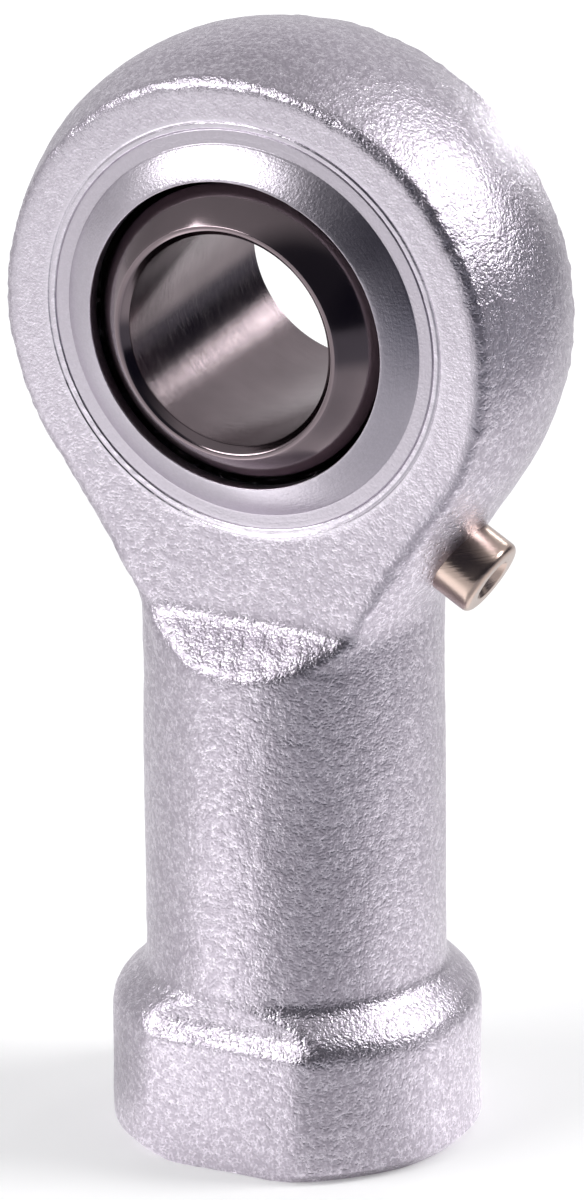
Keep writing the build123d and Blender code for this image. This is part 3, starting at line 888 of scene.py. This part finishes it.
def spring_points(n, axes, seat, along=160, around=10):
    """Points of the coiled wire: a small circle carried along a helix, square to its path, from the lip up to
    the check ball, which rests on its conical seat. Also the helix's two ends, the foot of its axis and its
    height."""
    throat_bottom = n.protrusion - n.funnel_depth - n.throat_length
    ball_height = throat_bottom + n.throat - (n.ball + n.clearance) * sqrt(2)
    top = ball_height - sqrt((n.ball + n.wire + n.clearance) ** 2 - n.coil**2)
    bottom = -n.insertion + n.lip + n.wire + 2 * n.clearance
    rise = top - bottom
    t = np.linspace(0, 1, along)
    phase = 2 * pi * n.turns * t
    path = round_axis(n.coil, phase, bottom + rise * t)
    heading = round_axis(1.0, phase + pi / 2, rise / (2 * pi * n.turns * n.coil))
    heading /= np.linalg.norm(heading, axis=1)[:, None]
    outward = round_axis(1.0, phase, 0.0)
    upward = np.cross(heading, outward)
    turn = np.linspace(0, 2 * pi, around, endpoint=False)[None, :, None]
    circle = np.cos(turn) * outward[:, None] + np.sin(turn) * upward[:, None]
    coil = path[:, None] + n.wire * circle
    return seat + coil @ axes, seat + path[[0, -1]] @ axes, seat + np.array([0, 0, bottom]) @ axes, rise


def spring_mesh(name, coil, ends):
    """The coiled wire as a closed piece: its points' grid, and a fan of triangles to the helix's end at each
    end."""
    along, around = coil.shape[:2]
    i = np.arange(around)
    fans = []
    for start, tip in ((0, along * around), ((along - 1) * around, along * around + 1)):
        fans.append(np.stack([start + i, start + (i + 1) % around, np.full(around, tip)], axis=1))
    points = np.vstack([coil.reshape(-1, 3), ends])
    return make_piece(name, points, grid_faces(along, around, close_rows=False), *fans)


def add(tree, kind, inputs=None, **settings):
    """Adds a node with its settings, and fills or links its inputs by name or number."""
    made = tree.nodes.new(kind)
    for key, value in settings.items():
        setattr(made, key, value)
    for key, value in (inputs or {}).items():
        if isinstance(value, bpy.types.NodeSocket):
            tree.links.new(value, made.inputs[key])
        else:
            made.inputs[key].default_value = value
    return made


def calculate(tree, operation, *values):
    """The result of a Math node on sockets or numbers."""
    return add(tree, "ShaderNodeMath", dict(enumerate(values)), operation=operation).outputs[0]


def remap(tree, value, low, high, first=0.0, last=1.0):
    """A value that runs evenly from first to last while another goes from low to high, and holds beyond."""
    return add(tree, "ShaderNodeMapRange", {0: value, 1: low, 2: high, 3: first, 4: last}).outputs[0]


def dot(tree, vector, toward):
    """The dot product of a vector socket and a fixed direction."""
    inputs = {0: vector, 1: toward}
    return add(tree, "ShaderNodeVectorMath", inputs, operation="DOT_PRODUCT").outputs["Value"]


def noise(tree, vector, scale, detail):
    """Noise of about 0 to 1 with a scale in waves per metre."""
    inputs = {"Vector": vector, "Scale": scale, "Detail": detail}
    return add(tree, "ShaderNodeTexNoise", inputs).outputs[0]


def mask(tree, name):
    """A mask that the piece's mesh holds."""
    return add(tree, "ShaderNodeAttribute", attribute_name=name).outputs["Fac"]


def mix_colours(tree, factor, first, second):
    """A colour between two others."""
    made = add(tree, "ShaderNodeMix", data_type="RGBA")
    for place, value in ((0, factor), (6, first), (7, second)):
        if isinstance(value, bpy.types.NodeSocket):
            tree.links.new(value, made.inputs[place])
        else:
            made.inputs[place].default_value = value
    return made.outputs[2]


def opaque(value, factor=1.0):
    """A colour with full alpha, each channel times a factor."""
    return (*(channel * factor for channel in value), 1.0)


def new_group(name, inputs, outputs):
    """An empty node group with number sockets, a vector first, and its two end nodes."""
    tree = bpy.data.node_groups.new(name, "ShaderNodeTree")
    tree.interface.new_socket(name="Vector", in_out="INPUT", socket_type="NodeSocketVector")
    for socket_name, value in inputs.items():
        made = tree.interface.new_socket(name=socket_name, in_out="INPUT", socket_type="NodeSocketFloat")
        made.default_value = value
    for socket_name in outputs:
        tree.interface.new_socket(name=socket_name, in_out="OUTPUT", socket_type="NodeSocketFloat")
    return tree, tree.nodes.new("NodeGroupInput"), tree.nodes.new("NodeGroupOutput")


def grain_group():
    """Fine plated grain: two layers of noise for the height, with fine flecks and broad blotches as masks."""
    values = {"Fine": 3600.0, "Coarse": 1100.0, "Share": 0.55, "Blotch": 260.0}
    fleck_range, blotch_range = (0.36, 0.56), (0.35, 0.65)
    tree, start, end = new_group("Plated grain", values, ["Height", "Flecks", "Blotches"])
    vector, coarse_share = start.outputs["Vector"], start.outputs["Share"]
    fine = noise(tree, vector, start.outputs["Fine"], 2.5)
    coarse = noise(tree, vector, start.outputs["Coarse"], 3.0)
    low = calculate(tree, "MULTIPLY", coarse, coarse_share)
    high = calculate(tree, "MULTIPLY", fine, calculate(tree, "SUBTRACT", 1.0, coarse_share))
    both = calculate(tree, "ADD", low, high)
    blotch = noise(tree, vector, start.outputs["Blotch"], 3.0)
    tree.links.new(both, end.inputs["Height"])
    tree.links.new(remap(tree, both, *fleck_range), end.inputs["Flecks"])
    tree.links.new(remap(tree, blotch, *blotch_range), end.inputs["Blotches"])


def turning_group():
    """Fine marks of turning round an axis: noise that changes fast with the distance from the axis and the
    height along it, and hardly at all round it. The vector's Z runs along the axis."""
    tree, start, end = new_group("Turning marks", {"Density": 9000.0, "Across": 60.0}, ["Height"])
    split = add(tree, "ShaderNodeSeparateXYZ", {0: start.outputs["Vector"]})
    squares = [calculate(tree, "POWER", split.outputs[k], 2.0) for k in (0, 1)]
    radius = calculate(tree, "SQRT", calculate(tree, "ADD", *squares))
    line = calculate(tree, "ADD", radius, split.outputs[2])
    fast = calculate(tree, "MULTIPLY", line, start.outputs["Density"])
    slow = [calculate(tree, "MULTIPLY", split.outputs[k], start.outputs["Across"]) for k in (0, 1)]
    place = add(tree, "ShaderNodeCombineXYZ", {0: slow[0], 1: slow[1], 2: fast})
    tree.links.new(noise(tree, place.outputs[0], 1.0, 2.0), end.inputs["Height"])


def place_group(tree, name, vector, **values):
    """Places a node group in a material, with its vector and its own values."""
    made = tree.nodes.new("ShaderNodeGroup")
    made.node_tree = bpy.data.node_groups[name]
    tree.links.new(vector, made.inputs["Vector"])
    for key, value in values.items():
        made.inputs[key].default_value = value
    return made


def new_material(name, metallic=1.0):
    """A material with a Principled shader, and its tree."""
    material = bpy.data.materials.new(name)
    material.use_nodes = True
    shader = material.node_tree.nodes["Principled BSDF"]
    shader.inputs["Metallic"].default_value = metallic
    return material, material.node_tree, shader


def object_place(tree):
    """The place on the piece, in metres."""
    return add(tree, "ShaderNodeTexCoord").outputs["Object"]


def own_axes(tree, axis):
    """The place on the piece, turned so that the given axis becomes Z."""
    turn = Vector(axis).rotation_difference(Vector((0, 0, 1))).to_euler()
    return add(tree, "ShaderNodeMapping", {"Vector": object_place(tree), "Rotation": tuple(turn)}).outputs[0]


def vary_roughness(tree, shader, where, spread, middle):
    """Roughness from half the spread below the middle, where the mask is 0, to half of it above."""
    rough = calculate(tree, "MULTIPLY_ADD", where, spread, middle - spread / 2)
    tree.links.new(rough, shader.inputs["Roughness"])


def bump(tree, shader, height, distance):
    """Bends the shader's normal by a height, which counts over the distance."""
    made = add(tree, "ShaderNodeBump", {"Height": height, "Distance": distance, "Strength": 1.0})
    tree.links.new(made.outputs[0], shader.inputs["Normal"])


def forged_zinc(f):
    """Zinc-plated forging: sandy grain, as strong as the piece's grain mask says, with duller flecks."""
    material, tree, shader = new_material("Forged zinc")
    values = {"Fine": 5200.0, "Coarse": 2100.0, "Share": 0.5, "Blotch": 180.0}
    grain = place_group(tree, "Plated grain", object_place(tree), **values)
    share_here = mask(tree, "grain")
    flecks = calculate(tree, "MULTIPLY", grain.outputs["Flecks"], share_here)
    clean = calculate(tree, "MULTIPLY_ADD", flecks, -f.fleck_share, 1.0)
    clean = calculate(tree, "MULTIPLY_ADD", grain.outputs["Blotches"], -f.blotch_share, clean)
    tint = mix_colours(tree, clean, opaque(f.zinc_dim), opaque(f.zinc))
    tree.links.new(tint, shader.inputs["Base Color"])
    middle = calculate(tree, "SUBTRACT", grain.outputs["Height"], 0.5)
    bump(tree, shader, calculate(tree, "MULTIPLY", middle, share_here), f.grain_depth)
    vary_roughness(tree, shader, flecks, f.roughness_spread, f.skin_roughness)
    return material


def sheet_zinc(f, axis=BORE_AXIS, bump_depth=0.03, marks_share=0.35, speckle=0.93, spread=0.06):
    """Zinc-plated pressed sheet: smooth, with faint rings and a little darker speckle."""
    material, tree, shader = new_material("Sheet zinc")
    where = own_axes(tree, axis)
    grain = place_group(tree, "Plated grain", where, Fine=5200.0, Coarse=2400.0, Share=0.4)
    marks = place_group(tree, "Turning marks", where, Density=5200.0, Across=90.0)
    both = calculate(tree, "MULTIPLY_ADD", marks.outputs["Height"], marks_share, grain.outputs["Height"])
    bump(tree, shader, both, bump_depth * MM)
    tint = mix_colours(tree, grain.outputs["Flecks"], opaque(f.sheet), opaque(f.sheet, speckle))
    tree.links.new(tint, shader.inputs["Base Color"])
    vary_roughness(tree, shader, grain.outputs["Blotches"], spread, f.sheet_roughness)
    return material


def polished_steel(
    name, tone, roughness, axis=BORE_AXIS, mark_height=0.006, density=9000.0, across=70.0, ground=False
):
    """Steel with faint marks of grinding round an axis, their height given in millimetres, and slow changes
    of tone. A ground piece's masks say where the marks are deeper, and where a painted highlight lightens its
    edges."""
    calm_marks, blotched, highlight, spread = 0.06, 0.88, 1.4, 0.05
    material, tree, shader = new_material(name)
    where = own_axes(tree, axis)
    height = place_group(tree, "Turning marks", where, Density=density, Across=across).outputs["Height"]
    if ground:
        deep = calculate(tree, "MULTIPLY_ADD", mask(tree, "ground"), 1 - calm_marks, calm_marks)
        height = calculate(tree, "MULTIPLY", height, deep)
    bump(tree, shader, height, mark_height * MM)
    grain = place_group(tree, "Plated grain", where, Fine=6000.0, Coarse=3000.0, Share=0.4)
    blotches = grain.outputs["Blotches"]
    tint = mix_colours(tree, blotches, opaque(tone), opaque(tone, blotched))
    if ground:
        # Painted highlight: lighter colour along the ring's edges.
        tint = mix_colours(tree, mask(tree, "painted_highlight"), tint, opaque(tone, highlight))
    tree.links.new(tint, shader.inputs["Base Color"])
    vary_roughness(tree, shader, blotches, spread, roughness)
    return material


def direction(azimuth, elevation):
    """The unit vector towards an azimuth, counted from the front face to +X, and an elevation."""
    return Vector((sin(azimuth) * cos(elevation), -cos(azimuth) * cos(elevation), sin(elevation)))


def floor_material(f, stage):
    """Pale matt floor. The camera sees it a little paler with its shadow. In the metal it shows painted shade
    in the FLOOR_PAINTED_SHADES, and painted light that glows in the FLOOR_PAINTED_LIGHTS and in a streak
    below the key softbox."""
    material, tree, shader = new_material("Pale floor", metallic=0.0)
    shader.inputs["Roughness"].default_value = 0.9
    shader.inputs["Specular IOR Level"].default_value = 0.0
    shader.inputs["Emission Color"].default_value = (1, 1, 1, 1)
    rays = add(tree, "ShaderNodeLightPath")
    mirrored = calculate(tree, "MAXIMUM", rays.outputs["Is Glossy Ray"], rays.outputs["Is Transmission Ray"])
    flat = {0: object_place(tree), 1: (1, 1, 0)}
    level = add(tree, "ShaderNodeVectorMath", flat, operation="MULTIPLY").outputs["Vector"]
    outward = add(tree, "ShaderNodeVectorMath", {0: level}, operation="NORMALIZE").outputs["Vector"]
    apart = add(tree, "ShaderNodeVectorMath", {0: level}, operation="LENGTH").outputs["Value"]

    def sector(azimuth, inner, outer):
        """1 on the floor within the inner angle of an azimuth, fading to 0 at the outer angle, in degrees."""
        nearness = dot(tree, outward, direction(radians(azimuth), 0))
        return remap(tree, nearness, cos(radians(outer)), cos(radians(inner)))

    # Painted shade: in the metal the floor's colour goes towards the dark colour in these sectors.
    painted_shade = 0.0
    for azimuth, inner, outer, *distances, amount in FLOOR_PAINTED_SHADES:
        deep = remap(tree, apart, *distances, 0.0, amount)
        shade = calculate(tree, "MULTIPLY", sector(azimuth, inner, outer), deep)
        painted_shade = calculate(tree, "MAXIMUM", painted_shade, shade)
    unshaded_share = calculate(tree, "SUBTRACT", 1.0, calculate(tree, "MULTIPLY", painted_shade, mirrored))
    tone = mix_colours(tree, unshaded_share, FLOOR_PAINTED_SHADE_COLOUR, opaque(f.floor))
    tree.links.new(tone, shader.inputs["Base Color"])

    # Painted light: in the metal the floor glows a little all over, and more in the sectors and in the
    # streak.
    painted_light = FLOOR_PAINTED_BASE_LIGHT
    for azimuth, inner, outer, *distances, near, far in FLOOR_PAINTED_LIGHTS:
        strength = remap(tree, apart, *distances, near, far)
        painted_light = calculate(tree, "MULTIPLY_ADD", sector(azimuth, inner, outer), strength, painted_light)
    painted_light = calculate(tree, "MULTIPLY", painted_light, remap(tree, apart, *FLOOR_PAINTED_LIGHT_END, 1.0, 0.0))

    ahead = dot(tree, level, direction(stage.streak_azimuth, 0))
    aside = dot(tree, level, direction(stage.streak_azimuth + pi / 2, 0))
    aside = calculate(tree, "ABSOLUTE", calculate(tree, "SUBTRACT", aside, FLOOR_PAINTED_STREAK["aside"]))
    band = remap(tree, aside, FLOOR_PAINTED_STREAK["half_width"], FLOOR_PAINTED_STREAK["half_core"])
    fade = remap(tree, ahead, *FLOOR_PAINTED_STREAK["fades"], stage.streak_glow, 0.0)
    streak = calculate(tree, "MULTIPLY", fade, remap(tree, ahead, *FLOOR_PAINTED_STREAK["begins"]))
    streak = calculate(tree, "MULTIPLY", band, streak)
    in_metal = calculate(tree, "MULTIPLY", calculate(tree, "ADD", streak, painted_light), mirrored)
    pale = remap(tree, apart, *FLOOR_PALE, stage.floor_glow, stage.far_glow)
    pale = calculate(tree, "MULTIPLY", rays.outputs["Is Camera Ray"], pale)
    tree.links.new(calculate(tree, "ADD", pale, in_metal), shader.inputs["Emission Strength"])
    return material


class ROD_END_OT_finishes(bpy.types.Operator):
    """Build the shared node groups that the finishes use"""

    bl_idname = "rod_end.finishes"
    bl_label = "Finishes"

    def execute(self, context):
        grain_group()
        turning_group()
        return {"FINISHED"}


class ROD_END_OT_body(bpy.types.Operator):
    """Build the forged body: head, neck, shank and collar, with raceway, seats, thread and nipple hole"""

    bl_idname = "rod_end.body"
    bl_label = "Forged body"

    def execute(self, context):
        s, n = context.scene.rod_end_body, context.scene.rod_end_nipple
        piece = body_mesh(s)
        points = read_points(piece.data)
        height = skin_height(s, points) + stake_damage(s, points)
        write_points(piece.data, points + read_points(piece.data, "normal") * height[:, None])
        cut_nipple_hole(s, n, piece)
        write_mask(piece.data, "grain", grain_share(s, read_points(piece.data)))
        material = forged_zinc(context.scene.rod_end_finish)
        finish_piece(piece, "housing", "zinc_forging", material, "rod_end_body")
        return {"FINISHED"}


class ROD_END_OT_shields(bpy.types.Operator):
    """Build the two dished side shields"""

    bl_idname = "rod_end.shields"
    bl_label = "Side shields"

    def execute(self, context):
        b = context.scene.rod_end_bearing
        material = sheet_zinc(context.scene.rod_end_finish)
        profile = shield_profile(b)
        for node, toward in (("front_shield", -1), ("rear_shield", 1)):
            points = turned(profile, TURNED_SEGMENTS, bore_axes(toward)).reshape(-1, 3)
            edge = bell(np.hypot(points[:, 0], points[:, 2]), profile[:, 0].min(), b.burr_width)
            points[:, 1] += toward * b.burr * edge * ripple(points, "burr")
            piece = make_piece(node + "_plated", points, grid_faces(len(profile), TURNED_SEGMENTS))
            finish_piece(piece, "housing", "zinc_sheet", material, node)
        return {"FINISHED"}


class ROD_END_OT_inner_ring(bpy.types.Operator):
    """Build the inner ring with its two ball grooves"""

    bl_idname = "rod_end.inner_ring"
    bl_label = "Inner ring"

    def execute(self, context):
        b, f = context.scene.rod_end_bearing, context.scene.rod_end_finish
        piece = turned_piece("inner_ring_polished", ring_profile(b), TURNED_SEGMENTS, bore_axes())
        x, y, z = read_points(piece.data).T
        radius = np.hypot(x, z)
        rings = b.bore + b.bore_chamfer, sqrt(b.ring_radius**2 - b.ring_half**2)
        # Painted highlight lines at the bore's chamfer and the faces' outer edge, lighter in colour.
        edges = sum(bell(radius, ring, b.painted_highlight_width) for ring in rings)
        write_mask(piece.data, "painted_highlight", np.where(np.abs(y) > b.ring_half - 0.25 * MM, edges, 0.0))
        write_mask(piece.data, "ground", (radius < b.bore + 0.02 * MM) * 1.0)
        fine = {"density": 50000.0, "across": 450.0}
        material = polished_steel("Bearing steel", f.bearing, f.steel_roughness, ground=True, **fine)
        finish_piece(piece, "inner_ring", "bearing_steel", material, "inner_ring")
        return {"FINISHED"}


class ROD_END_OT_balls(bpy.types.Operator):
    """Give the two rows of balls and the check ball their polished finish"""

    bl_idname = "rod_end.balls"
    bl_label = "Balls"

    def execute(self, context):
        f = context.scene.rod_end_finish
        material = polished_steel("Ball steel", f.ball, f.ball_roughness, mark_height=0.002)
        for name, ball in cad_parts.items():
            if "_ball" in name:
                ball.data.materials.clear()
                ball.data.materials.append(material)
                ball.data.shade_smooth()
        return {"FINISHED"}


class ROD_END_OT_nipple(bpy.types.Operator):
    """Build the grease nipple and the spring of its check ball"""

    bl_idname = "rod_end.nipple"
    bl_label = "Grease nipple"

    def execute(self, context):
        scene = context.scene
        s, n, f = scene.rod_end_body, scene.rod_end_nipple, scene.rod_end_finish
        axes, seat = nipple_frame(s, n)
        axis = tuple(axes[2])
        piece = turned_piece("grease_nipple_plated", nipple_profile(n), NIPPLE_SEGMENTS, axes, seat)
        marks = {"mark_height": 0.01, "density": 7000.0}
        material = polished_steel("Nickel", f.nickel, f.nickel_roughness, axis, **marks)
        finish_piece(piece, "housing", "nickel_plate", material, "grease_nipple")

        coil, ends, anchor, rise = spring_points(n, axes, seat)
        wire = spring_mesh("nipple_spring_wire", coil, ends)
        material = polished_steel("Spring wire", f.spring, f.spring_roughness, axis)
        finish_piece(wire, "housing", "spring_wire", material, "nipple_spring")
        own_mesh(wire)
        return {"FINISHED"}


def area_lamp(name, aim, azimuth, elevation, distance, width, height, glow):
    """A soft box aimed at a place on the part from a direction. Its glow is what a mirror would see in it,
    and the power follows from its area."""
    back = direction(radians(azimuth), radians(elevation))
    data = bpy.data.lights.new(name, "AREA")
    data.shape = "RECTANGLE"
    data.size = width
    data.size_y = height
    data.energy = glow * pi * width * height
    lamp = bpy.data.objects.new(name, data)
    bpy.context.scene.collection.objects.link(lamp)
    lamp.location = Vector(aim) + back * distance
    lamp.visible_camera = False
    lamp.rotation_euler = back.to_track_quat("Z", "Y").to_euler()


def make_world(stage):
    """Grey studio walls all round with lighter and darker patches, told apart by direction alone. The camera
    itself sees a white backdrop instead."""
    world = bpy.data.worlds.new("Studio")
    world.use_nodes = True
    tree = world.node_tree
    where = add(tree, "ShaderNodeTexCoord").outputs["Generated"]
    tint = opaque(stage.sky)
    for azimuth, elevation, inner, outer, grey in WALL_PATCHES:
        near = dot(tree, where, direction(radians(azimuth), radians(elevation)))
        patch = remap(tree, near, cos(radians(outer)), cos(radians(inner)))
        tint = mix_colours(tree, patch, tint, opaque((grey, grey, grey + PATCH_BLUE)))
    seen = add(tree, "ShaderNodeLightPath").outputs["Is Camera Ray"]
    tint = mix_colours(tree, seen, tint, opaque(stage.backdrop))
    tree.links.new(tint, tree.nodes["Background"].inputs["Color"])
    bpy.context.scene.world = world


def make_camera(stage):
    """The camera at the photograph's angle, with a long lens."""
    a, roll = stage.azimuth, stage.roll
    back = direction(a, stage.elevation)
    level = Vector((cos(a), sin(a), 0))
    right = cos(roll) * level + sin(roll) * back.cross(level)
    turn = Matrix((right, back.cross(right), back)).transposed()
    data = bpy.data.cameras.new("Camera")
    data.sensor_width = 36.0
    data.lens = data.sensor_width * stage.distance / stage.view_height
    data.clip_start = stage.distance / 4
    data.clip_end = stage.distance * 4
    camera = bpy.data.objects.new("Camera", data)
    bpy.context.scene.collection.objects.link(camera)
    aim = Vector((stage.aim_across, 0, stage.aim_up))
    camera.matrix_world = Matrix.Translation(aim + back * stage.distance) @ turn.to_4x4()
    bpy.context.scene.camera = camera


class ROD_END_OT_stage(bpy.types.Operator):
    """Build the floor, lamps, world and camera"""

    bl_idname = "rod_end.stage"
    bl_label = "Stage"

    def execute(self, context):
        stage, f = context.scene.rod_end_stage, context.scene.rod_end_finish
        foot = -context.scene.rod_end_body.foot - stage.floor_gap
        ring = round_axis(stage.floor_radius, np.linspace(0, 2 * pi, 96, endpoint=False), foot)
        mesh = bpy.data.meshes.new("floor")
        mesh.from_pydata(ring.tolist(), [], [list(range(len(ring)))])
        floor = bpy.data.objects.new("floor", mesh)
        context.scene.collection.objects.link(floor)
        floor.data.materials.append(floor_material(f, stage))
        for name, *placing in LAMPS:
            area_lamp(name, *placing)
        make_world(stage)
        make_camera(stage)
        context.scene.view_settings.view_transform = "Standard"
        return {"FINISHED"}


OPERATORS = (
    ROD_END_OT_finishes,
    ROD_END_OT_body,
    ROD_END_OT_shields,
    ROD_END_OT_inner_ring,
    ROD_END_OT_balls,
    ROD_END_OT_nipple,
    ROD_END_OT_stage,
)

SETTINGS = {
    "rod_end_body": BodySizes,
    "rod_end_bearing": BearingSizes,
    "rod_end_nipple": NippleSizes,
    "rod_end_finish": FinishColours,
    "rod_end_stage": StageSettings,
}


class ROD_END_PT_panel(bpy.types.Panel):
    """Sidebar panel with the rod end's sizes, colours and builders"""

    bl_idname = "ROD_END_PT_panel"
    bl_label = "Rod End"
    bl_space_type = "VIEW_3D"
    bl_region_type = "UI"
    bl_category = "Rod End"

    def draw(self, context):
        for operator in OPERATORS:
            self.layout.operator(operator.bl_idname)
        for name in SETTINGS:
            box = self.layout.box()
            group = getattr(context.scene, name)
            for key in group.__annotations__:
                box.prop(group, key)


def register():
    for kind in (*SETTINGS.values(), *OPERATORS, ROD_END_PT_panel):
        bpy.utils.register_class(kind)
    for name, kind in SETTINGS.items():
        setattr(bpy.types.Scene, name, PointerProperty(type=kind))


def unregister():
    for name in SETTINGS:
        delattr(bpy.types.Scene, name)
    for kind in (ROD_END_PT_panel, *reversed(OPERATORS), *reversed(list(SETTINGS.values()))):
        bpy.utils.unregister_class(kind)


def main():
    register()
    bpy.ops.rod_end.finishes()
    bpy.ops.rod_end.body()
    bpy.ops.rod_end.shields()
    bpy.ops.rod_end.inner_ring()
    bpy.ops.rod_end.balls()
    bpy.ops.rod_end.nipple()
    bpy.ops.rod_end.stage()


if __name__ == "__main__":
    main()
